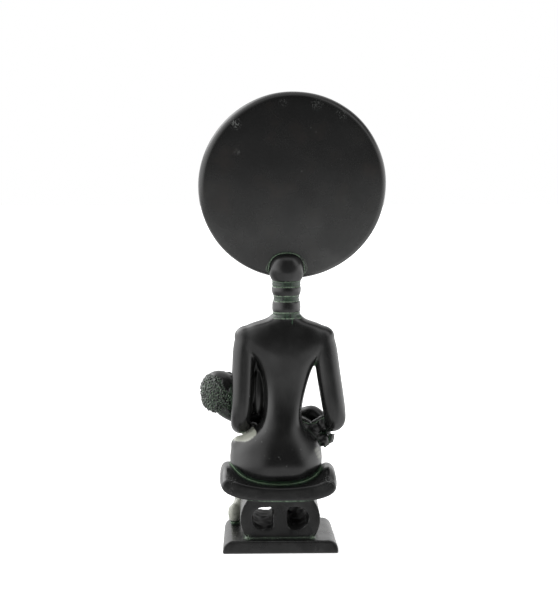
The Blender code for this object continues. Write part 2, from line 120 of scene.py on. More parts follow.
def addLoft(shape, rings, sides):
    # a closed skin through rings: centre, two half-axes, and a fullness that is 2 for a round one
    start = len(shape.verts)
    before = None
    for centre, across, along, fullness in rings:
        facing = Matrix((across, along, across.cross(along).normalized())).transposed().to_4x4()
        facing.translation = centre
        made = bmesh.ops.create_circle(shape, cap_ends=False, segments=sides, radius=1)
        for vert in made["verts"]:
            x, y = (abs(t) ** (2 / fullness) * (1 if t > 0 else -1) for t in vert.co.xy)
            vert.co = facing @ Vector((x, y, 0))
        edges = list({edge for vert in made["verts"] for edge in vert.link_edges})
        if before:
            bmesh.ops.bridge_loops(shape, edges=before + edges)
        before = [edge for edge in edges if edge.is_valid]
    shape.verts.ensure_lookup_table()
    own = {edge for vert in shape.verts[start:] for edge in vert.link_edges}
    bmesh.ops.holes_fill(shape, edges=[edge for edge in own if edge.is_boundary])


def addTube(shape, centres, radii, sides=12):
    across = None
    rings = []
    for index, radius in enumerate(radii):
        ahead = centres[min(index + 1, len(centres) - 1)] - centres[max(index - 1, 0)]
        ahead.normalize()
        across = across or ahead.orthogonal()
        across = (across - ahead * across.dot(ahead)).normalized()
        rings.append((centres[index], across * radius, ahead.cross(across) * radius, 2))
    addLoft(shape, rings, sides)


def addBall(shape, centre, radii, facing=Matrix.Identity(3), detail=4):
    place = Matrix.Translation(centre) @ facing.to_4x4() @ Matrix.Diagonal((*radii, 1))
    bmesh.ops.create_icosphere(shape, subdivisions=detail, radius=1, matrix=place)


def addTurned(shape, profile, place, sides):
    # a closed solid turned about Y, from (distance from the axis, place along it) points
    verts = [shape.verts.new((out, along, 0)) for out, along in profile]
    edges = [shape.edges.new(pair) for pair in zip(verts, verts[1:])]
    bmesh.ops.spin(
        shape, geom=verts + edges, cent=(0, 0, 0), axis=(0, 1, 0), angle=2 * pi, steps=sides, use_merge=True
    )
    bmesh.ops.remove_doubles(shape, verts=shape.verts, dist=0.01 * mm)
    bmesh.ops.recalc_face_normals(shape, faces=shape.faces)
    bmesh.ops.transform(shape, matrix=place, verts=shape.verts)


def smoothStep(low, high, value):
    share = min(1, max(0, (value - low) / (high - low)))
    return share * share * (3 - 2 * share)


# The body, in hundredths of the torso's height from a point on the middle of the seat's top
figure = {
    "torsoHeight": 101.0 * mm,
    "origin": Vector((0, 4.0, 40.2)) * mm,
    "voxel": 0.45 * mm,
    "passes": 17,
    "triangles": 82000,
    "spineDepth": 0.35 * mm,
    "spineWidth": 1.5 * mm,
    "fingerVoxel": 0.36 * mm,
    "fingerPasses": 4,
    "fingerTriangles": 9000,
}
share = figure["torsoHeight"] / 100


def body(x, y, z):
    return figure["origin"] + Vector((x, y, z)) * share


def addLimb(shape, points):
    addTube(shape, [body(x, y, z) for x, y, z, _ in points], [radius * share for *_, radius in points])


def addBodyBall(shape, centre, radii, turnY=0, turnZ=0):
    facing = Matrix.Rotation(radians(turnZ), 3, "Z") @ Matrix.Rotation(radians(turnY), 3, "Y")
    addBall(shape, body(*centre), [radius * share for radius in radii], facing, 3)


def addTorso(shape):
    sections = [
        # height, middle across, middle along, half width, half depth, fullness
        (-2.5, 1.5, 2.5, 15.0, 9.0, 2.3),
        (1.5, 1.8, 2.5, 25.0, 14.2, 2.6),
        (8.0, 2.1, 2.2, 27.8, 16.8, 2.6),
        (15.0, 2.1, 1.8, 28.5, 17.2, 2.4),
        (21.0, 2.1, 1.5, 27.6, 16.2, 2.2),
        (25.5, 2.0, 1.5, 25.4, 14.6, 2),
        (29.0, 0.8, 1.5, 19.6, 12.8, 2),
        (34.0, -0.8, 1.5, 13.2, 10.8, 2.2),
        (41.0, -1.8, 1.2, 11.4, 9.0, 2.6),
        (50.0, -2.8, 1.2, 11.6, 8.6, 2.8),
        (60.0, -3.8, 1.4, 13.2, 9.0, 2.6),
        (70.0, -3.8, 1.8, 16.2, 9.7, 2.3),
        (75.0, -4.6, 2.0, 19.6, 9.9, 2.4),
        (79.0, -4.0, 2.2, 22.8, 9.9, 2.8),
        (83.0, -3.4, 2.3, 26.8, 9.7, 3.2),
        (88.0, -3.2, 2.4, 28.3, 9.4, 3.2),
        (92.5, -3.0, 2.4, 26.8, 8.8, 2.8),
        (96.0, -2.8, 2.2, 22.8, 8.2, 2.3),
        (98.5, -3.2, 2.0, 13.2, 8.0, 2),
        (100.6, -4.0, 1.9, 9.6, 7.8, 2),
        (103.5, -4.1, 1.8, 8.0, 7.4, 2),
    ]
    rings = [
        (body(x, y, z), Vector((width * share, 0, 0)), Vector((0, depth * share, 0)), fullness)
        for z, x, y, width, depth, fullness in sections
    ]
    addLoft(shape, rings, 24)


def addArms(shape):
    left = [
        (8.0, 2.4, 91.0, 5.5),
        (15.5, 2.4, 90.0, 7.0),
        (20.4, 2.4, 87.5, 7.6),
        (21.4, 2.2, 80.0, 7.3),
        (21.9, 2.0, 70.0, 7.1),
        (22.6, 1.5, 52.0, 7.0),
        (23.2, 1.0, 40.0, 6.6),
        (23.2, -1.5, 33.8, 6.6),
        (24.0, -10.0, 32.0, 5.8),
        (22.0, -20.0, 31.5, 4.8),
        (16.0, -28.5, 32.5, 3.8),
        (9.5, -32.0, 34.0, 3.4),
        (5.0, -31.8, 34.8, 3.2),
    ]
    right = [
        (-15.0, 2.4, 91.0, 5.5),
        (-21.5, 2.4, 90.0, 7.0),
        (-26.4, 2.4, 87.0, 7.6),
        (-27.7, 2.2, 80.0, 7.7),
        (-28.9, 2.0, 70.0, 7.6),
        (-31.4, 1.5, 54.0, 7.6),
        (-33.6, 1.0, 41.0, 7.2),
        (-34.2, -1.2, 35.6, 6.8),
        (-33.0, -9.0, 33.0, 5.8),
        (-26.5, -18.5, 31.0, 4.8),
        (-19.0, -26.0, 29.5, 3.8),
        (-12.5, -30.5, 29.5, 3.4),
        (-8.0, -31.0, 30.3, 3.2),
    ]
    addLimb(shape, left)
    addLimb(shape, right)
    addBodyBall(shape, (20.2, 2.4, 88.1), (7.2, 7.2, 7.2))
    addBodyBall(shape, (-26.2, 2.4, 87.9), (7.2, 7.2, 7.2))
    addBodyBall(shape, (17.0, -6.5, 46.0), (4.8, 4.4, 7.2))
    addBodyBall(shape, (17.5, -5.5, 31.5), (5.7, 4.8, 3.8))
    addBodyBall(shape, (12.8, -2.8, 54.0), (4.2, 4.6, 15.0))
    addBodyBall(shape, (23.2, 2.4, 21.8), (6.6, 7.2, 6.2))


ground = -32.2 * mm / share  # the base's top, seen from the seat's
seatFront = -17.0 * mm / share
legs = [(1, 12.5, 18.5, 22.2, 27.3), (-1, -9.0, -13.2, -12.6, -12.4)]  # side, hip, knee, ankle, heel


def addLegs(shape):
    for side, hip, knee, ankle, heel in legs:
        leg = [
            (hip, 2.0, 15.0, 12.5),
            (hip * 0.6 + knee * 0.4, seatFront * 0.6, 14.5, 12.0),
            (hip * 0.2 + knee * 0.8, seatFront - 4.5, 14.0, 10.4),
            (knee, seatFront - 12.0, 11.0, 8.8),
            (knee * 0.9 + heel * 0.1, seatFront - 13.8, 2.0, 7.6),
            (knee * 0.7 + heel * 0.3, seatFront - 12.0, ground * 0.30, 6.4),
            (ankle, seatFront - 6.0, ground * 0.58, 4.6),
            (ankle * 0.3 + heel * 0.7, seatFront - 3.2, ground + 9.4, 4.2),
            (heel, seatFront - 2.0, ground + 4.4, 4.6),
        ]
        foot = [
            (heel, seatFront - 1.2, ground + 3.0, 3.8),
            (heel - side * 0.2, seatFront - 6.0, ground + 3.8, 4.4),
            (heel - side * 0.4, seatFront - 10.5, ground + 2.4, 4.0),
            (heel - side * 0.5, seatFront - 13.6, ground + 1.6, 2.8),
        ]
        addLimb(shape, leg)
        addLimb(shape, foot)
        addBodyBall(shape, (heel, seatFront - 1.6, ground + 7.0), (4.2, 4.3, 6.0))


def addBreasts(shape):
    left = [(14.0, 0.0, 79.0, 4.6), (12.5, -5.5, 70.0, 6.0), (10.0, -9.5, 61.0, 6.8), (9.0, -12.5, 55.0, 5.4)]
    right = [
        (-17.5, 0.0, 79.0, 4.6),
        (-14.0, -5.5, 71.0, 6.0),
        (-11.6, -9.5, 63.0, 6.8),
        (-11.0, -12.8, 57.5, 5.4),
    ]
    for breast in (left, right):
        addLimb(shape, breast)
        x, y, z, radius = breast[-1]
        addBodyBall(shape, (x, y, z), (radius, radius, radius))
        addBodyBall(shape, (x, y - radius * 0.8, z - radius * 0.45), (1.9, 2.2, 1.9))


def addChildBody(shape):
    limbs = [
        [  # trunk and neck
            (-12.0, -17.0, 32.5, 6.0),
            (-7.0, -18.5, 34.0, 8.4),
            (3.0, -19.5, 34.5, 8.8),
            (12.5, -18.5, 36.0, 8.8),
            (20.0, -15.5, 36.8, 7.4),
            (26.5, -12.0, 38.5, 6.0),
            (32.6, -11.0, 42.6, 7.0),
            (36.5, -11.0, 48.0, 7.0),
        ],
        [  # near leg
            (-8.0, -14.5, 32.5, 6.6),
            (-13.5, -11.0, 31.5, 5.9),
            (-19.0, -9.0, 29.8, 5.4),
            (-22.0, -8.0, 25.5, 4.2),
            (-23.4, -7.4, 21.5, 3.4),
        ],
        [  # near foot
            (-22.6, -7.4, 20.6, 3.3),
            (-25.2, -7.0, 22.8, 4.5),
            (-28.2, -6.8, 23.7, 4.6),
            (-30.6, -6.8, 23.9, 3.6),
        ],
        [  # far leg
            (-8.0, -21.5, 33.0, 7.0),
            (-14.5, -22.0, 33.8, 5.9),
            (-21.2, -21.5, 37.6, 6.4),
            (-26.4, -18.8, 33.6, 5.2),
            (-29.0, -15.5, 26.5, 3.6),
            (-29.5, -14.5, 22.0, 3.2),
        ],
        [(-28.5, -14.5, 20.8, 3.0), (-31.0, -14.5, 22.0, 3.3), (-33.4, -14.5, 23.2, 2.6)],
        [(21.0, -9.5, 41.0, 4.6), (17.0, -7.5, 46.5, 3.9), (13.5, -9.0, 53.0, 3.3), (10.5, -13.0, 58.0, 2.8)],
        [  # far arm
            (20.0, -21.5, 41.0, 4.4),
            (14.0, -26.0, 42.5, 3.8),
            (8.5, -25.5, 46.5, 3.2),
            (6.0, -21.0, 51.0, 2.8),
        ],
    ]
    for limb in limbs:
        addLimb(shape, limb)
    # the wrap between the near thigh and the forearm
    addBodyBall(shape, (-22.5, -6.4, 31.0), (5.6, 2.8, 4.2), 12)
    addBodyBall(shape, (-26.4, -5.2, 33.8), (3.8, 2.8, 4.8), 12)
    addBodyBall(shape, (-14.2, -6.2, 32.6), (4.6, 2.8, 3.6), -14)


def addFingersAndToes(shape):
    for fold in (
        [(-10.4, -4.2, 37.4, 0.9), (-15.2, -4.4, 36.2, 1.0), (-19.2, -4.6, 33.8, 1.0)],
        [(-19.2, -4.6, 33.8, 1.0), (-23.5, -4.0, 36.2, 1.0), (-27.8, -3.0, 39.0, 0.9)],
    ):
        addLimb(shape, fold)
    hands = [
        # middle, turn about Y, where the fingers point, how they fan
        ((4.5, -32.0, 35.0), 8, Vector((-1.0, 0.10, -0.10)), 1),
        ((-7.5, -31.0, 30.5), -10, Vector((1.0, -0.10, 0.08)), -1),
    ]
    for middle, turn, ahead, fan in hands:
        addBodyBall(shape, middle, (5.4, 2.5, 4.6), turn, -8 * fan)
        ahead.normalize()
        for index, length in enumerate((5.6, 6.6, 6.2, 4.8)):
            root = Vector(middle) + ahead * 2.6 + Vector((0, -0.5, 3.2 - 2.1 * index))
            bend = Vector((0, 0.25 * length, 0))
            tip = root + ahead * length + Vector((0, 0, 0.25 * (1.5 - index)))
            points = [
                (*root, 1.15),
                (*(root.lerp(tip, 0.5) - bend * 0.15), 1.15),
                (*(tip + bend * 0.25), 0.95),
            ]
            addLimb(shape, points)
            addBodyBall(shape, points[-1][:3], (0.95, 0.95, 0.95))
        thumb = Vector(middle) + Vector((0, -0.8, 4.0))
        addLimb(shape, [(*thumb, 1.3), (*(thumb + ahead * 2.4 + Vector((0, -0.4, 1.5))), 1.15)])
    for side, _, _, _, heel in legs:
        for index in range(5):
            x = heel - side * 0.5 + side * (index - 1.9) * 1.45
            size = 1.35 - 0.13 * index
            y = seatFront - 15.4 + 0.35 * index
            addBodyBall(shape, (x, y, ground + 1.3), (size * 0.75, size * 1.5, size))
    nearToes = [
        (-31.8, 25.7, 1.35),
        (-31.6, 23.7, 1.15),
        (-30.8, 22.0, 1.1),
        (-29.6, 20.4, 1.0),
        (-28.1, 19.2, 0.95),
    ]
    for x, z, size in nearToes:
        addBodyBall(shape, (x, -6.4, z), (size * 1.1, size * 1.3, size))
    for index in range(5):
        addBodyBall(shape, (-33.7 + 0.2 * index, -14.5, 24.6 - 1.05 * index), (1.1, 0.8, 0.6))


def spine(place, normal):
    # a shallow groove down the middle of the back
    high = (place.z - figure["origin"].z) / share
    middle = figure["origin"].x + (-2.2 - 0.032 * high) * share
    along = smoothStep(28, 45, high) * (1 - smoothStep(84, 94, high))
    across = abs(place.x - middle) / figure["spineWidth"]
    if across > 3 or normal.y < 0.3 or not 0 < along:
        return 0
    return -figure["spineDepth"] * along * 2.718 ** (-across * across)


def hipCorner(place):
    middle = body(25.0, 8.0, 20.0)
    return 1 - smoothStep(6.5 * mm, 10.5 * mm, (place - middle).length)


def buttocks(place, normal):
    # two low swellings of the hips towards the back
    x, z = place.x / mm, place.z / mm
    high = exp(-(((z - 53.5) / 12) ** 2)) * smoothStep(0.2, 0.7, normal.y)
    return 1.9 * mm * high * (exp(-(((x - 6.0) / 9) ** 2)) + exp(-(((x + 11.0) / 9) ** 2)))


def soften(piece, weight, passes):
    # smooths where weight(place) is above 0
    group = piece.vertex_groups.new(name="soft")
    for vert in piece.data.vertices:
        amount = weight(vert.co)
        if amount > 0:
            group.add([vert.index], amount, "REPLACE")
    addModifier(piece, "SMOOTH", factor=0.5, iterations=passes, vertex_group="soft")
    bake(piece)
    piece.vertex_groups.clear()
    return piece


def shoulders(place):
    # the tops of the arms, where they run into the broad back
    x, y, z = (place - figure["origin"]) / share
    out = abs(x + 3.1)
    amount = smoothStep(9, 13, out) * smoothStep(79, 84, z)
    return amount * smoothStep(0, 2, y) * (1 - smoothStep(26, 29.5, out))


bodyShape = bmesh.new()
for addPart in (addTorso, addArms, addLegs, addBreasts, addChildBody):
    addPart(bodyShape)
casting = skin("akuabaCasting", bodyShape, figure["voxel"], figure["passes"])
soften(casting, shoulders, 70)
soften(casting, hipCorner, 60)
moveOut(casting, spine)
moveOut(casting, buttocks)
thin(casting, figure["triangles"])
fingerShape = bmesh.new()
addFingersAndToes(fingerShape)
fingers = skin("fingers", fingerShape, figure["fingerVoxel"], figure["fingerPasses"], rounding=1)
thin(fingers, figure["fingerTriangles"])
print("body made")

# The child's head, turned up towards the mother, with its curls
child = {
    "centre": (36.2, -11.5, 53.2),
    "radii": (11.9, 11.4, 12.3),
    "nape": (38.0, -11.0, 48.8),
    "napeRadii": (9.4, 9.2, 9.2),
    "turn": 20,
    "face": Vector((-0.5, -0.3, 0.8)).normalized(),
    "crown": Vector((0.62, 0.5, 0.6)),
    "curl": 1.45 * mm,
    "curlHeight": 0.85 * mm,
    "voxel": 0.31 * mm,
    "passes": 4,
    "triangles": 30000,
}
headMiddle = body(*child["centre"])
headRadius = child["radii"][0] * share
child["crown"] = (child["crown"] - child["face"] * child["crown"].dot(child["face"])).normalized()
sideways = child["face"].cross(child["crown"])
headFacing = Matrix((sideways, child["crown"], child["face"])).transposed()


def onHead(side, up, out=1.0):
    ahead = headFacing @ Vector((side, up, 1))
    return headMiddle + ahead.normalized() * headRadius * out


def addHeadBall(shape, side, up, out, radii):
    addBall(shape, onHead(side, up, out), [radius * headRadius for radius in radii], headFacing, 3)


def hairiness(place):
    # 1 on the hair, 0 on the face and ears
    away = (place - headMiddle) / headRadius
    side = away.dot(sideways)
    front = away.dot(child["face"])
    hairline = 0.44 - 0.40 * smoothStep(0.55, 0.95, abs(side))
    hairline -= 0.5 * smoothStep(0.1, 0.9, -away.dot(child["crown"]))
    low = smoothStep(-1.75, -1.6, away.z)
    return (1 - smoothStep(hairline - 0.06, hairline, front)) * low


def curlDome(place):
    distances, _ = noise.voronoi(place / child["curl"])
    return max(0, 1 - (distances[0] / 0.62) ** 2)


def curls(place, normal):
    amount = hairiness(place)
    return amount * (curlDome(place) - 0.45) * child["curlHeight"] if amount else 0


headShape = bmesh.new()
turned = Matrix.Rotation(radians(child["turn"]), 3, "Y")
addBall(headShape, headMiddle, [radius * share for radius in child["radii"]], turned)
addBall(headShape, body(*child["nape"]), [radius * share for radius in child["napeRadii"]])
addHeadBall(headShape, 0, -0.06, 1.0, (0.10, 0.24, 0.12))  # nose
addHeadBall(headShape, 0, -0.24, 1.03, (0.15, 0.10, 0.11))
addHeadBall(headShape, 0, -0.48, 0.97, (0.20, 0.06, 0.08))  # lips
addHeadBall(headShape, 0, -0.60, 0.96, (0.17, 0.06, 0.08))
addHeadBall(headShape, 0, -0.95, 0.88, (0.24, 0.18, 0.20))  # chin
for side in (-1, 1):
    addHeadBall(headShape, side * 0.38, 0.06, 0.95, (0.19, 0.09, 0.09))  # eye
    addHeadBall(headShape, side * 0.40, 0.24, 0.95, (0.24, 0.05, 0.07))  # brow
    addHeadBall(headShape, side * 0.52, -0.42, 0.80, (0.30, 0.28, 0.22))  # cheek
    ear = headMiddle + (sideways * side * 0.93 + child["face"] * 0.16).normalized() * headRadius * 0.98
    addBall(headShape, ear, [headRadius * size for size in (0.10, 0.24, 0.15)], headFacing, 3)
childHead = skin("childHead", headShape, child["voxel"], child["passes"], rounding=0)
moveOut(childHead, curls)
thin(childHead, child["triangles"])
print("child's head made")

# The neck, with its two swelling rings, and the round nape in front of the disc
neck = {
    "foot": Vector((-4.141, 5.818, 141.2)) * mm,
    "height": 23.0 * mm,
    "root": 4.0 * mm,
    "sides": 80,
    "profile": [
        # height, radius in millimetres
        (-0.3, 8.35),
        (0.25, 8.45),
        (1.2, 8.35),
        (1.7, 8.15),
        (2.3, 8.35),
        (3.1, 8.40),
        (3.4, 8.10),
        (3.75, 8.35),
        (4.6, 8.58),
        (6.2, 8.68),
        (8.2, 8.62),
        (9.5, 8.42),
        (10.0, 8.15),
        (10.2, 7.85),
        (10.5, 7.95),
        (11.2, 7.85),
        (11.9, 7.62),
        (12.6, 7.85),
        (13.2, 7.95),
        (13.5, 7.85),
        (13.9, 8.20),
        (14.8, 8.55),
        (16.2, 8.85),
        (17.8, 8.90),
        (18.7, 8.75),
        (19.0, 8.35),
        (19.4, 8.65),
        (20.4, 8.72),
        (21.0, 8.50),
        (21.6, 8.70),
        (22.4, 8.72),
        (22.75, 8.40),
        (23.3, 8.80),
    ],
    "napeRise": 5.9 * mm,
    "napeForward": 2.75 * mm,
    "napeRadii": (10.7 * mm, 9.8 * mm, 10.5 * mm),
    "napeFullness": 2.45,
    "napeFoot": 163.8 * mm,
    "rimRadius": 10.5 * mm,
    "rimThickness": 0.45 * mm,
}
neckTop = neck["foot"] + Vector((0, 0, neck["height"]))
neckShape = bmesh.new()
profile = [(0, -neck["root"]), (neck["profile"][0][1] * mm, -neck["root"])]
profile += [(out * mm, high * mm) for high, out in neck["profile"]]
profile += [(neck["profile"][-1][1] * mm, neck["height"] + neck["root"]), (0, neck["height"] + neck["root"])]
neckPlace = Matrix.Translation(neck["foot"]) @ Matrix.Rotation(pi / 2, 4, "X")
addTurned(neckShape, profile, neckPlace, neck["sides"])
neckPiece = meshObject("neck", neckShape)
napeMiddle = neckTop + Vector((0, neck["napeForward"], neck["napeRise"]))
napeShape = bmesh.new()
addBall(napeShape, napeMiddle, neck["napeRadii"], detail=5)
for vert in napeShape.verts:
    # squarer than a ball in its upper half
    out = Vector([part / radius for part, radius in zip(vert.co - napeMiddle, neck["napeRadii"])])
    fullness = 2 + (neck["napeFullness"] - 2) * smoothStep(-0.3, 0.3, out.z)
    widen = sum(abs(part) ** fullness for part in out) ** (-1 / fullness)
    vert.co = napeMiddle + (vert.co - napeMiddle) * widen
for vert in napeShape.verts:
    vert.co.z = max(vert.co.z, neck["napeFoot"])  # its foot stands flat on the neck's top collar
bmesh.ops.remove_doubles(napeShape, verts=napeShape.verts, dist=0.001 * mm)
nape = meshObject("nape", napeShape)
print("neck made")

# The disc, a turned lens that leans back, with the face in low relief on its front
disc = {
    "radius": 56.7 * mm,
    "thickness": 9.0 * mm,
    "rim": 4.0 * mm,
    "dome": 0.22,
    "centre": neckTop + Vector((-3.6, 3.0, 57.0)) * mm,
    "turn": 4,
    "lean": -6,
    "sides": 144,
    "steps": 15,
    "rimSteps": 13,
    "waviness": 0.16 * mm,
    "waveSize": 21 * mm,
    "faceVoxel": 0.4 * mm,
    "facePasses": 4,
    "faceTriangles": 9000,
}
discPlace = Matrix.Translation(disc["centre"]) @ Matrix.Rotation(radians(disc["turn"]), 4, "Z")
discPlace = discPlace @ Matrix.Rotation(radians(disc["lean"]), 4, "X")
half = disc["thickness"] / 2
rimStart = disc["radius"] - disc["rim"]
dome = disc["dome"] * disc["thickness"]
profile = [(rimStart * t, half + dome * (1 - t * t)) for t in np.linspace(0, 1, disc["steps"])[:-1]]
profile += [
    (rimStart + disc["rim"] * cos(a), half * sin(a)) for a in np.linspace(pi / 2, -pi / 2, disc["rimSteps"])
]
profile += [(rimStart * t, -half) for t in np.linspace(1, 0, 5)[1:]]
discShape = bmesh.new()
addTurned(discShape, [(float(out), float(along)) for out, along in profile], discPlace, disc["sides"])
discPiece = meshObject("disc", discShape)


def handWork(place, normal):
    # the slight unevenness of a surface that was modelled by hand
    return noise.noise(place / disc["waveSize"]) * disc["waviness"]


moveOut(discPiece, handWork)


def onFace(x, z, lift=0.0):
    front = -half - lift * disc["radius"]
    return discPlace @ Vector((x * disc["radius"], front, z * disc["radius"]))


def addRelief(shape, points, radii, sides=10):
    addTube(shape, [onFace(*point) for point in points], [radius * disc["radius"] for radius in radii], sides)


faceShape = bmesh.new()
browSteps = np.linspace(0, 1, 15)
for side in (-1, 1):
    angles = [radians(-10 + 210 * t) for t in browSteps]
    brow = [(side * (0.205 - 0.185 * cos(a)), -0.30 + 0.185 * sin(a)) for a in angles]
    addRelief(faceShape, brow, [0.020 + 0.018 * sin(pi * t) for t in browSteps])
    for lid, size in ((0.022, 0.038), (-0.024, 0.032)):
        across = (-0.135, -0.10, -0.05, 0, 0.05, 0.10, 0.135)
        eye = [(side * 0.205 + t, -0.335 + lid * (1 - (t / 0.14) ** 2) - 0.10 * t * t) for t in across]
        addRelief(faceShape, eye, [size * (1 - (t / 0.15) ** 2) + 0.006 for t in across])
    nostril = onFace(side * 0.042, -0.515, 0.012)
    addBall(faceShape, nostril, [disc["radius"] * r for r in (0.040, 0.045, 0.036)], detail=3)
ridge = [  # the nose: height, lift, radius
    (-0.16, -0.014, 0.028),
    (-0.26, 0.0, 0.034),
    (-0.38, 0.012, 0.044),
    (-0.48, 0.026, 0.058),
    (-0.535, 0.008, 0.050),
]
addRelief(faceShape, [(0, z, lift) for z, lift, _ in ridge], [radius for *_, radius in ridge])
across = (-0.11, -0.08, -0.04, 0, 0.04, 0.08, 0.11)
for height, bow, size in ((-0.628, -0.3, 0.034), (-0.675, 0.5, 0.036)):
    lip = [(x, height + bow * x * x) for x in across]
    addRelief(faceShape, lip, [size * (1 - (x / 0.12) ** 2) + 0.006 for x in across])
facePiece = skin("face", faceShape, disc["faceVoxel"], disc["facePasses"], rounding=1)
thin(facePiece, disc["faceTriangles"])

# A raised rim lies on the disc's back round the nape, thicker at the figure's right
rimShape = bmesh.new()
middle = discPlace.inverted() @ napeMiddle
rimCentres = []
rimRadii = []
for angle in np.linspace(-14, 196, 40):
    a = radians(angle)
    swell = smoothStep(118, 150, angle) * (1 - smoothStep(178, 196, angle))
    drawIn = 1.0 - 0.16 * smoothStep(3, -14, angle) - 0.16 * smoothStep(180, 196, angle)
    out = (neck["rimRadius"] + 1.4 * mm * smoothStep(65, 5, angle) + 0.7 * mm * swell) * drawIn
    rimCentres.append(discPlace @ Vector((middle.x + out * cos(a), half + 0.1 * mm, middle.z + out * sin(a))))
    rimRadii.append(neck["rimThickness"] * (1 + 1.9 * swell))
addTube(rimShape, rimCentres, rimRadii, 12)
bmesh.ops.recalc_face_normals(rimShape, faces=rimShape.faces)
napeRim = meshObject("napeRim", rimShape)
print("disc and face made")

# The stool: base, barrel-shaped support with two openings, dished seat
stool = {
    "baseWidth": 70.0 * mm,
    "baseFrontShare": 67.6 / 70.0,
    "baseDepth": 60.0 * mm,
    "baseBack": 30 * mm,
    "baseHeight": 8.0 * mm,
    "baseShoulder": 6.0 * mm,
    "supportWidth": 48.6 * mm,
    "supportEnd": 40.5 * mm,
    "supportDepth": 33.0 * mm,
    "supportHeight": 23.5 * mm,
    "supportBack": 23.5 * mm,
    "pillar": 8.6 * mm,
    "wall": 7.0 * mm,
    "openingFloor": 5.2 * mm,
    "openingCeiling": 4.3 * mm,
    "openingRise": {1: 5.4 * mm, -1: 9.6 * mm},
    "seatWidth": 71.4 * mm,
    "seatDepth": 42.0 * mm,
    "seatBack": 29.0 * mm,
    "seatTop": 40.2 * mm,
    "seatUnderside": 31.5 * mm,
    "seatFlank": 1.8 * mm,
    "seatStations": [
        # share of the depth, width, rise of the horns, share of the rounding taken off
        (0.0, 0.972, 0.45, 0.95),
        (0.006, 0.973, 0.45, 0.55),
        (0.016, 0.974, 0.46, 0.24),
        (0.028, 0.975, 0.47, 0.06),
        (0.045, 0.976, 0.49, 0.0),
        (0.08, 0.980, 0.56, 0.0),
        (0.12, 0.985, 0.66, 0.0),
        (0.17, 0.991, 0.77, 0.0),
        (0.22, 0.996, 0.86, 0.0),
        (0.28, 1.0, 0.95, 0.0),
        (0.35, 1.0, 1.0, 0.0),
        (0.62, 1.0, 1.0, 0.0),
        (0.72, 1.0, 0.96, 0.0),
        (0.80, 0.996, 0.90, 0.0),
        (0.90, 0.985, 0.75, 0.0),
        (0.965, 0.976, 0.62, 0.0),
        (0.985, 0.974, 0.59, 0.24),
        (1.0, 0.972, 0.56, 0.95),
    ],
    "seatHorn": [
        # out, up from the seat's middle, in millimetres, down the inner side of a horn
        (35.6, 2.0),
        (35.3, 5.2),
        (34.4, 7.9),
        (33.0, 9.6),
        (31.2, 10.4),
        (29.2, 10.3),
        (27.4, 9.2),
        (25.6, 7.5),
        (22.0, 5.0),
        (17.0, 2.9),
        (11.0, 1.2),
        (5.5, 0.35),
        (0.0, 0.0),
    ],
    "seatRounding": 1.5 * mm,
    "seatTilt": 1.0,
    "seatShift": 1.0 * mm,
    "edge": 0.8 * mm,
    "voxel": 0.5 * mm,
    "passes": 3,
    "triangles": 30000,
    "roughness": 0.12 * mm,
    "openingRoughness": 0.55 * mm,
}


def slab(name, outline, back, depth, rounding=0.0, taper=1.0):
    # a closed outline of (x, z) points carried forward from back, with its two rims rounded
    shape = bmesh.new()
    face = shape.faces.new([shape.verts.new((x, back, z)) for x, z in outline])
    carried = bmesh.ops.extrude_face_region(shape, geom=[face])["geom"]
    front = [part for part in carried if isinstance(part, bmesh.types.BMVert)]
    bmesh.ops.translate(shape, verts=front, vec=(0, -depth, 0))
    bmesh.ops.scale(shape, verts=front, vec=(taper, 1, 1))
    bmesh.ops.recalc_face_normals(shape, faces=shape.faces)
    if rounding:
        rims = [edge for edge in shape.edges if abs(edge.verts[0].co.y - edge.verts[1].co.y) < depth / 2]
        bmesh.ops.bevel(
            shape, geom=rims, offset=rounding, affect="EDGES", segments=3, profile=0.5, material=-1,
            clamp_overlap=True,
        )
    return meshObject(name, shape)


def baseOutline():
    reach = stool["baseWidth"] / 2
    corner = reach - stool["baseShoulder"]
    tall = min(stool["baseShoulder"], stool["baseHeight"] - stool["edge"])
    right = [
        (corner + stool["baseShoulder"] * cos(a), stool["baseHeight"] - tall + tall * sin(a))
        for a in np.linspace(0, pi / 2, 12)
    ]
    return [(-reach, 0), (reach, 0), *right, *[(-x, z) for x, z in reversed(right)]]


def supportOutline():
    bow = (stool["supportWidth"] - stool["supportEnd"]) / 2
    end = stool["supportEnd"] / 2
    low = stool["baseHeight"] - 1.0 * mm
    high = stool["baseHeight"] + stool["supportHeight"] + 3.5 * mm
    right = [
        (end + bow * (1 - (2 * t - 1) ** 2), stool["baseHeight"] + t * stool["supportHeight"])
        for t in np.linspace(0, 1, 17)
    ]
    left = [(-x, z) for x, z in reversed(right)]
    return [(-end, low), (end, low), *right, (end, high), (-end, high), *left]


def makeOpening(side):
    # its rough floor rises towards the figure's front, more at her right
    tall = stool["supportHeight"] - stool["openingFloor"] - stool["openingCeiling"]
    ceiling = stool["baseHeight"] + stool["openingFloor"] + tall
    left = 1 - stool["openingRise"][side] / tall
    shape = slab("opening", openingOutline(side), stool["supportBack"] + mm, stool["supportDepth"] + 2 * mm)
    for vert in shape.data.vertices:
        if vert.co.y < 0:
            vert.co.z = ceiling - (ceiling - vert.co.z) * left
    return shape


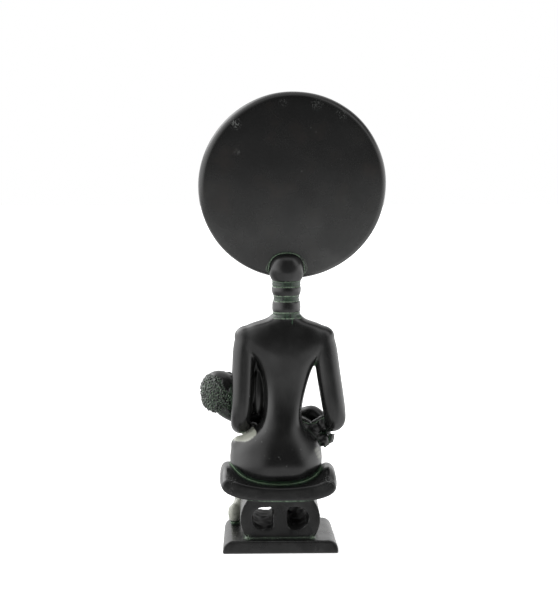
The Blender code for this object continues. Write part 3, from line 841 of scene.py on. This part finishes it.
def openingOutline(side):
    # a D with its straight side against the pillar
    straight = stool["pillar"] / 2
    width = stool["supportWidth"] / 2 - stool["wall"] - straight
    tall = (stool["supportHeight"] - stool["openingFloor"] - stool["openingCeiling"]) / 2
    middle = stool["baseHeight"] + stool["openingFloor"] + tall
    bulge = min(tall, width * 0.6)
    arc = [
        (straight + width - bulge + bulge * cos(a), middle + tall * sin(a))
        for a in np.linspace(-pi / 2, pi / 2, 13)
    ]
    corner = 0.24 * tall
    flat = [
        (straight + corner, middle + tall),
        (straight, middle + tall - corner),
        (straight, middle - tall + corner),
        (straight + corner, middle - tall),
    ]
    return [(side * x, z) for x, z in arc + flat]


def seatSection(width, rise, inset):
    # (x, z) round the seat at one place along its depth
    reach = stool["seatWidth"] / 2
    level = stool["seatTop"] + stool["seatFlank"]
    deep = level - stool["seatUnderside"]
    fullness = 2 / 2.5
    points = []
    for a in np.linspace(pi, 2 * pi, 41)[1:-1]:
        out = abs(cos(a)) ** fullness * (1 if cos(a) > 0 else -1)
        points.append((reach * out, level - deep * abs(sin(a)) ** fullness))
    horn = [(out * mm, stool["seatTop"] + high * rise * mm) for out, high in stool["seatHorn"]]
    points += horn + [(-x, z) for x, z in reversed(horn[:-1])]
    lift = sin(radians(stool["seatTilt"]))
    placed = [Vector((stool["seatShift"] + x * width, z + x * lift)) for x, z in points]
    drawnIn = []
    for before, point, after in zip(placed[-1:] + placed[:-1], placed, placed[1:] + placed[:1]):
        ahead = (after - before).normalized()
        drawnIn.append(point + Vector((-ahead.y, ahead.x)) * inset)
    return drawnIn


def makeSeat():
    shape = bmesh.new()
    before = None
    for along, width, rise, rounding in stool["seatStations"]:
        y = stool["seatBack"] - along * stool["seatDepth"]
        section = seatSection(width, rise, rounding * stool["seatRounding"])
        face = shape.faces.new([shape.verts.new((x, y, z)) for x, z in section])
        edges = list(face.edges)
        if before:
            bmesh.ops.bridge_loops(shape, edges=before + edges)
        if 0 < along < 1:
            bmesh.ops.delete(shape, geom=[face], context="FACES_ONLY")
        before = edges
    bmesh.ops.recalc_face_normals(shape, faces=shape.faces)
    return meshObject("seat", shape)


def castUnevenness(place, normal):
    # rough inside the openings, nearly flat elsewhere
    inside = abs(abs(place.x) - 10.8 * mm) < 7.6 * mm and 12.6 * mm < place.z < 27.8 * mm
    inside = inside and abs(normal.y) < 0.6 and -9 * mm < place.y < 23.4 * mm
    size = stool["openingRoughness"] if inside else stool["roughness"]
    flat = smoothStep(0.3 * mm, 1.5 * mm, place.z)  # the underside stays level
    return noise.noise(place / (3.2 * mm if inside else 9 * mm)) * size * flat


stoolPiece = slab(
    "stool", baseOutline(), stool["baseBack"], stool["baseDepth"], stool["edge"], stool["baseFrontShare"]
)
support = slab("support", supportOutline(), stool["supportBack"], stool["supportDepth"])
for side in (1, -1):
    join(support, makeOpening(side), "DIFFERENCE")
join(stoolPiece, support)
join(stoolPiece, makeSeat())
addModifier(stoolPiece, "REMESH", mode="VOXEL", voxel_size=stool["voxel"])
addModifier(stoolPiece, "SMOOTH", factor=0.5, iterations=stool["passes"])
bake(stoolPiece)
moveOut(stoolPiece, castUnevenness)
thin(stoolPiece, stool["triangles"])
print("stool made")

for part in (fingers, childHead, neckPiece, nape, discPiece, facePiece, napeRim, stoolPiece):
    join(casting, part)
    print("joined", len(casting.data.polygons))

dropSlivers(casting)
wash = casting.data.attributes.new("curlWash", "FLOAT", "POINT")
for vert in casting.data.vertices:
    if (vert.co - headMiddle).length < 1.6 * headRadius and vert.co.x > 24 * mm:
        wash.data[vert.index].value = hairiness(vert.co) * (1 - curlDome(vert.co))
casting.data.shade_smooth()
casting.data.set_sharp_from_angle(angle=radians(48))


# Materials
class Flow:
    # one socket of a shader, so that shader maths reads as plain expressions
    def __init__(self, tree, socket=None):
        self.tree = tree
        self.socket = socket

    def node(self, kind, settings, inputs, output=0):
        made = self.tree.nodes.new(kind)
        for name, value in settings.items():
            if name == "stops":
                while len(made.color_ramp.elements) < len(value):
                    made.color_ramp.elements.new(1.0)
                for element, (place, colour) in zip(made.color_ramp.elements, value):
                    element.position = place
                    element.color = colour
            else:
                setattr(made, name, value)
        for name, value in inputs.items():
            if isinstance(value, Flow):
                self.tree.links.new(value.socket, made.inputs[name])
            else:
                made.inputs[name].default_value = value
        return Flow(self.tree, made.outputs[output])

    def math(self, operation, first, second=0.0):
        return self.node("ShaderNodeMath", {"operation": operation}, {0: first, 1: second})

    def __add__(self, other):
        return self.math("ADD", self, other)

    __radd__ = __add__

    def __sub__(self, other):
        return self.math("SUBTRACT", self, other)

    def __rsub__(self, other):
        return self.math("SUBTRACT", other, self)

    def __mul__(self, other):
        return self.math("MULTIPLY", self, other)

    __rmul__ = __mul__

    def __truediv__(self, other):
        return self.math("DIVIDE", self, other)

    def atLeast(self, other):
        return self.math("MAXIMUM", self, other)

    def size(self):
        return self.math("ABSOLUTE", self)

    def rise(self, low, high):
        # 0 below low, 1 above high, smooth between; it falls where low is above high
        flipped = low > high
        settings = {"interpolation_type": "SMOOTHSTEP"}
        made = self.node("ShaderNodeMapRange", settings, {0: self, 1: min(low, high), 2: max(low, high)})
        return 1 - made if flipped else made

    def mix(self, first, second):
        # self is how much of the second colour shows
        inputs = {0: self, 6: first, 7: second}
        return self.node("ShaderNodeMix", {"data_type": "RGBA", "clamp_factor": True}, inputs, 2)

    def blend(self, first, second):
        # self is how much of the second number counts
        return self * second + (1 - self) * first

    def distance(self, point):
        return self.node("ShaderNodeVectorMath", {"operation": "DISTANCE"}, {0: self, 1: point}, 1)

    def noise(self, size, detail=3.0, roughness=0.5):
        # size is a feature's size in metres
        inputs = {"Vector": self, "Scale": 1 / size, "Detail": detail, "Roughness": roughness}
        return self.node("ShaderNodeTexNoise", {}, inputs)


resin = {
    "black": (0.0088, 0.0090, 0.0088, 1),
    "deepBlack": (0.0034, 0.0035, 0.0034, 1),
    # the pale grey below is painted sheen for the disc's lower back
    "paintedSheen": (0.030, 0.031, 0.030, 1),
    "brown": (0.0062, 0.0047, 0.0040, 1),
    "darkGreen": (0.016, 0.040, 0.020, 1),
    "lightGreen": (0.24, 0.33, 0.23, 1),
    # the cream below is a painted highlight on the hips, the shin and the heel
    "highlightCream": (0.40, 0.41, 0.35, 1),
    "chip": (0.30, 0.31, 0.30, 1),
    "gloss": 0.25,
    "satin": 0.27,
}
# x, y, z, reach in mm, strength
scuffPlaces = [
    (26.6, 17.5, 258.6, 5.0, 0.9), (25.5, 17.5, 242.0, 3.0, 0.4), (-1.9, 17.5, 271.2, 4.0, 0.25),
    (-22.0, 17.5, 270.0, 5.0, 0.25), (-37.0, 17.5, 264.0, 5.5, 0.2), (-20.8, 11.0, 117.5, 3.2, 0.7),
    (-29.5, 27.0, 45.5, 5.0, 0.5), (28.5, 27.0, 45.0, 4.0, 0.4), (29.5, 27.0, 39.0, 3.0, 0.6),
]
neckLines = [141.2, 144.6, 151.4, 154.7, 160.2, 163.9]
neckBands = [(141.2, 144.6), (151.4, 154.7), (160.2, 163.9)]


def castResin():
    material = bpy.data.materials.new("blackResin")
    material.use_nodes = True
    shader = material.node_tree.nodes["Principled BSDF"]
    tree = Flow(material.node_tree)
    place = tree.node("ShaderNodeTexCoord", {}, {}, "Object")
    split = place.node("ShaderNodeSeparateXYZ", {}, {0: place}, "X")
    x, y, z = (Flow(split.tree, split.socket.node.outputs[name]) for name in "XYZ")
    cloud = place.noise(14 * mm, 4)
    grain = place.noise(1.6 * mm, 4, 0.6)
    fine = place.noise(0.7 * mm, 3, 0.6)

    # green wash left in the creases: broad and dark, and a thin light line at the very bottom
    occlusion = {"samples": 12, "only_local": True}
    wide = tree.node("ShaderNodeAmbientOcclusion", occlusion, {"Distance": 2.6 * mm}, "AO")
    tight = tree.node("ShaderNodeAmbientOcclusion", occlusion, {"Distance": 0.8 * mm}, "AO")
    crease = (1 - wide).rise(0.14, 0.46) * grain.rise(0.30, 0.58)
    line = (1 - tight).rise(0.14, 0.36) * fine.rise(0.34, 0.60)
    curlWash = tree.node("ShaderNodeAttribute", {"attribute_name": "curlWash"}, {}, "Fac")
    gap = x.rise(6.0 * mm, 8.0 * mm) * x.rise(22.0 * mm, 20.0 * mm) * z.rise(62.0 * mm, 64.0 * mm)
    gap = gap * z.rise(132.0 * mm, 128.0 * mm) * y.rise(-12.0 * mm, -8.0 * mm)
    line = line * (1 - gap)
    crease = crease * (1 - gap)
    crease = crease.atLeast(curlWash.rise(0.55, 1.0) * grain.rise(0.34, 0.60) * 0.7)
    line = line.atLeast(curlWash.rise(0.76, 1.0) * fine.rise(0.50, 0.62) * 0.25)

    # the wash lies thicker round the seat, under it and along the support's foot
    atSeat = z.rise(36 * mm, 38 * mm) * z.rise(52 * mm, 49 * mm)
    crease = crease.atLeast((1 - wide).rise(0.07, 0.26) * grain.rise(0.36, 0.56) * atSeat)
    atBack = y.rise(12 * mm, 16 * mm)
    underSeat = (z - 32.0 * mm).size().rise(0.75 * mm, 0.25 * mm) * x.size().rise(22 * mm, 18 * mm)
    crease = crease.atLeast(underSeat * atBack * 0.9)
    line = line.atLeast(underSeat * atBack * grain.rise(0.40, 0.60) * 0.4)
    underFoot = z.rise(7.2 * mm, 7.6 * mm) * z.rise(9.4 * mm, 9.0 * mm) * y.rise(20 * mm, 22 * mm)
    line = line.atLeast((1 - tight).rise(0.06, 0.22) * grain.rise(0.30, 0.50) * underFoot)
    corner = tree.node("ShaderNodeCombineXYZ", {}, {"X": x.size(), "Y": y, "Z": z})
    reach = (stool["supportEnd"] / 2, stool["supportBack"], stool["baseHeight"])
    atFoot = corner.distance(reach).rise(3.2 * mm, 0.6 * mm) * fine.rise(0.44, 0.60)
    line = line.atLeast(atFoot * 0.8)
    line = line.atLeast((1 - tight).rise(0.08, 0.26) * grain.rise(0.34, 0.52) * atSeat)
    drip = (x + (grain - 0.5) * 1.6 * mm + 7.4 * mm).size().rise(0.5 * mm, 0.2 * mm)
    drip = drip * z.rise(137 * mm, 138 * mm)
    crease = crease.atLeast(
        drip * z.rise(142 * mm, 141 * mm) * y.rise(2 * mm, 4 * mm) * grain.rise(0.46, 0.56)
    )

    # the neck's bands and lines
    fromNeck = tree.node("ShaderNodeVectorMath", {"operation": "MULTIPLY"}, {0: place, 1: (1, 1, 0)})
    onNeck = fromNeck.distance((neck["foot"].x, neck["foot"].y, 0)).rise(10.2 * mm, 9.6 * mm)
    bands = 0.0
    for low, high in neckBands:
        above = z.rise((low - 0.1) * mm, (low + 0.3) * mm)
        bands = bands + above * z.rise((high + 0.1) * mm, (high - 0.3) * mm)
    lines = 0.0
    for high in neckLines:
        lines = lines + (z - high * mm).size().rise(0.45 * mm, 0.12 * mm)
    streak = fromNeck.noise(0.9 * mm, 2)
    crease = crease.atLeast(bands * onNeck * streak.rise(0.30, 0.60) * 0.8)
    line = line.atLeast(lines * onNeck * grain.rise(0.30, 0.62) * 0.55)

    # scuffs and pale chips on the disc's back
    scuffs = 0.0
    for px, py, pz, reach, strength in scuffPlaces:
        near = place.distance((px * mm, py * mm, pz * mm)).rise(reach * mm, reach * 0.3 * mm)
        scuffs = scuffs + near * strength
    scuffs = scuffs * fine.rise(0.53, 0.62)
    cells = {"Vector": place, "Scale": 1 / (7.5 * mm), "Randomness": 1.0}
    specks = tree.node("ShaderNodeTexVoronoi", {"feature": "F1"}, cells, "Distance").rise(0.045, 0.03)
    specks = specks * cloud.rise(0.52, 0.60)
    cells = {"Vector": place, "Scale": 1 / (3.4 * mm), "Randomness": 1.0}
    small = tree.node("ShaderNodeTexVoronoi", {"feature": "F1"}, cells, "Distance").rise(0.085, 0.05)
    small = small * place.distance((2 * mm, 18 * mm, 58 * mm)).rise(26 * mm, 12 * mm) * grain.rise(0.46, 0.54)

    # painted highlight: pale paint on the hip under her left elbow, fainter spots on her right hip, and on
    # her left shin and heel, where they catch the light
    flat = tree.node("ShaderNodeVectorMath", {"operation": "MULTIPLY"}, {0: place, 1: (1, 0, 1)})
    paintedHighlight = 0.0
    for px in np.linspace(16.2, 31.0, 12):
        pz = np.interp(px, (16.2, 18.4, 21.0, 26.0, 31.0), (71.0, 69.2, 67.8, 67.4, 68.2))
        paintedHighlight = flat.distance((px * mm, 0, pz * mm)).rise(2.3 * mm, 1.3 * mm).atLeast(paintedHighlight)
    for px, pz in ((-22.4, 60.6), (-23.4, 58.6), (-24.2, 56.6)):
        paintedHighlight = (flat.distance((px * mm, 0, pz * mm)).rise(2.2 * mm, 0.4 * mm) * 0.4).atLeast(paintedHighlight)
    paintedHighlight = paintedHighlight * y.rise(0, 3 * mm) * grain.rise(0.20, 0.40) * 0.7
    heelHighlight = z.rise(34 * mm, 28 * mm) * z.rise(9 * mm, 11 * mm)
    heelHighlight = heelHighlight * y.rise(-9 * mm, -11 * mm) * x.rise(20 * mm, 22 * mm)
    heelHighlight = heelHighlight * y.rise(-21 * mm, -16 * mm)
    paintedHighlight = paintedHighlight.atLeast(heelHighlight * grain.rise(0.20, 0.50) * 0.62)

    onDisc = z.rise(166 * mm, 169 * mm) * place.distance(tuple(napeMiddle)).rise(11.2 * mm, 12.0 * mm)
    # the disc's back grows paler towards its bottom and its sides: painted sheen where it catches the light
    paintedSheen = z.rise(240 * mm, 176 * mm) * (0.45 + x.size().rise(8 * mm, 44 * mm) * 0.55)
    paintedSheen = paintedSheen * (0.45 + place.noise(34 * mm, 3).rise(0.36, 0.64) * 0.75)
    discColour = cloud.rise(0.50, 0.72).mix(resin["deepBlack"], resin["brown"])
    discColour = (paintedSheen * (0.55 + cloud * 0.7)).mix(discColour, resin["paintedSheen"])
    # a deeper black over the back of her upper left arm: painted shade
    armShade = x.rise(17 * mm, 20 * mm) * z.rise(74 * mm, 80 * mm) * y.rise(-2 * mm, 2 * mm)
    colour = cloud.rise(0.36, 0.62).atLeast(armShade * 0.8).mix(resin["black"], resin["deepBlack"])
    colour = onDisc.mix(colour, discColour)
    colour = crease.mix(colour, resin["darkGreen"])
    colour = line.mix(colour, resin["lightGreen"])
    colour = (scuffs * 0.6 + specks * 0.7 + small * 0.5).mix(colour, resin["chip"])
    # the pale painted highlight goes on last
    colour = paintedHighlight.mix(colour, resin["highlightCream"])
    tree.tree.links.new(colour.socket, shader.inputs["Base Color"])

    # satin on the disc and the stool's flat faces, glossier on the body
    onStool = z.rise(36 * mm, 33 * mm)
    satin = onDisc.atLeast(onStool)
    roughness = resin["gloss"] + satin * (resin["satin"] - resin["gloss"]) + (cloud - 0.5) * 0.12
    roughness = roughness + crease * 0.25 + line * 0.2
    inOpening = z.rise(13.0 * mm, 14.0 * mm) * z.rise(27.6 * mm, 27.0 * mm) * y.rise(23.2 * mm, 22.6 * mm)
    inOpening = inOpening * x.size().rise(18.4 * mm, 17.4 * mm) * y.rise(-9.5 * mm, -8.5 * mm)
    roughness = roughness + inOpening * 0.30
    tree.tree.links.new(roughness.socket, shader.inputs["Roughness"])

    height = grain * 0.5 + fine * 0.3 + place.noise(6 * mm, 2) * 1.6
    bumpInputs = {"Strength": 0.22, "Distance": 0.12 * mm, "Height": height}
    bump = tree.node("ShaderNodeBump", {}, bumpInputs, "Normal")
    tree.tree.links.new(bump.socket, shader.inputs["Normal"])
    return material


casting.data.materials.clear()
casting.data.materials.append(castResin())
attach(casting, "root")
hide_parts("akuaba_figure")
print("material made")

# The studio: pale floor, white all round, and darkness behind the camera that the black resin mirrors
studio = {
    "floorFront": -3.0,
    "floorBack": 0.70,
    "floorHalf": 1.6,
    "overhead": 0.9,
    "low": [
        (-180, 0.7), (-143, 0.8), (-110, 1.1), (-83, 1.45), (-55, 1.4), (-36, 0.9), (-20, 0.95), (8, 0.95),
        (36, 0.75), (60, 0.8), (97, 0.5), (127, 0.8), (150, 1.0), (180, 0.7),
    ],
    "level": [
        (-180, 0.9), (-150, 1.2), (-125, 2.3), (-106, 2.4), (-92, 2.1), (-74, 2.0), (-55, 0.95), (-40, 0.35),
        (-25, 0.14), (12, 0.14), (24, 0.35), (38, 1.4), (56, 2.3), (80, 2.9), (100, 2.5),
        (127, 2.0), (150, 1.1),
        (180, 0.8),
    ],
    "high": [
        (-180, 1.0), (-150, 1.1), (-130, 0.7), (-113, 0.2), (-96, 0.2), (-80, 0.6), (-66, 1.6),
        (-52, 1.6), (-40, 0.6),
        (-26, 0.12), (8, 0.12), (24, 0.7), (40, 1.2), (54, 1.7), (70, 3.0), (97, 3.2), (112, 5.0), (130, 5.0),
        (150, 3.6), (165, 1.2), (180, 1.0),
    ],
    "eye": Vector((0.0326, 1.0995, 0.285)),
    "target": Vector((0.00014, 0.0, 0.15095)),
    "lens": 108.9,
}
floorShape = bmesh.new()
bmesh.ops.create_grid(floorShape, x_segments=1, y_segments=1, size=1)
floorDeep = (studio["floorBack"] - studio["floorFront"]) / 2
floorMiddle = (studio["floorBack"] + studio["floorFront"]) / 2
bmesh.ops.scale(floorShape, verts=floorShape.verts, vec=(studio["floorHalf"], floorDeep, 1))
bmesh.ops.translate(floorShape, verts=floorShape.verts, vec=(0, floorMiddle, 0))
floor = meshObject("floor", floorShape)
paper = bpy.data.materials.new("whitePaper")
paper.use_nodes = True
paperShader = paper.node_tree.nodes["Principled BSDF"]
paperShader.inputs["Base Color"].default_value = (0.86, 0.86, 0.86, 1)
paperShader.inputs["Roughness"].default_value = 0.9
paperShader.inputs["Emission Color"].default_value = (1, 1, 1, 1)
paperShader.inputs["Emission Strength"].default_value = 0.6
floor.data.materials.append(paper)
floor.visible_glossy = False  # the world's own lower half stands for it in reflections

world = bpy.data.worlds.new("studio")
bpy.context.scene.world = world
world.use_nodes = True
sky = Flow(world.node_tree)
ahead = sky.node("ShaderNodeTexCoord", {}, {}, "Generated")
split = sky.node("ShaderNodeSeparateXYZ", {}, {0: ahead}, "X")
skyX, skyY, skyZ = (Flow(sky.tree, split.socket.node.outputs[name]) for name in "XYZ")
turn = sky.math("ARCTAN2", skyX, skyY) / radians(360) + 0.5


def ring(stops):
    # brightness all round at one height: degrees towards the figure's left, brightness
    brightest = 6.0
    marks = [(angle / 360 + 0.5, (light / brightest,) * 3 + (1,)) for angle, light in stops]
    return sky.node("ShaderNodeValToRGB", {"stops": marks}, {0: turn}) * brightest


low = ring(studio["low"])
level = ring(studio["level"])
high = ring(studio["high"])
light = (0 - skyZ).rise(0.14, 0.38).blend(level, low)
light = skyZ.rise(0.17, 0.38).blend(light, high)
light = skyZ.rise(0.78, 0.94).blend(light, studio["overhead"])
seen = sky.node("ShaderNodeLightPath", {}, {}, "Is Camera Ray")
light = seen.blend(light, 1.0)
background = world.node_tree.nodes["Background"]
background.inputs["Color"].default_value = (1, 1, 1, 1)
world.node_tree.links.new(light.socket, background.inputs["Strength"])

camera = bpy.data.objects.new("camera", bpy.data.cameras.new("camera"))
bpy.context.scene.collection.objects.link(camera)
camera.location = studio["eye"]
camera.rotation_mode = "QUATERNION"
camera.rotation_quaternion = (studio["target"] - studio["eye"]).to_track_quat("-Z", "Y")
camera.data.lens = studio["lens"]
camera.data.sensor_width = 36
camera.data.clip_start = 0.01
bpy.context.scene.camera = camera
bpy.context.scene.view_settings.view_transform = "Standard"
print("studio made")
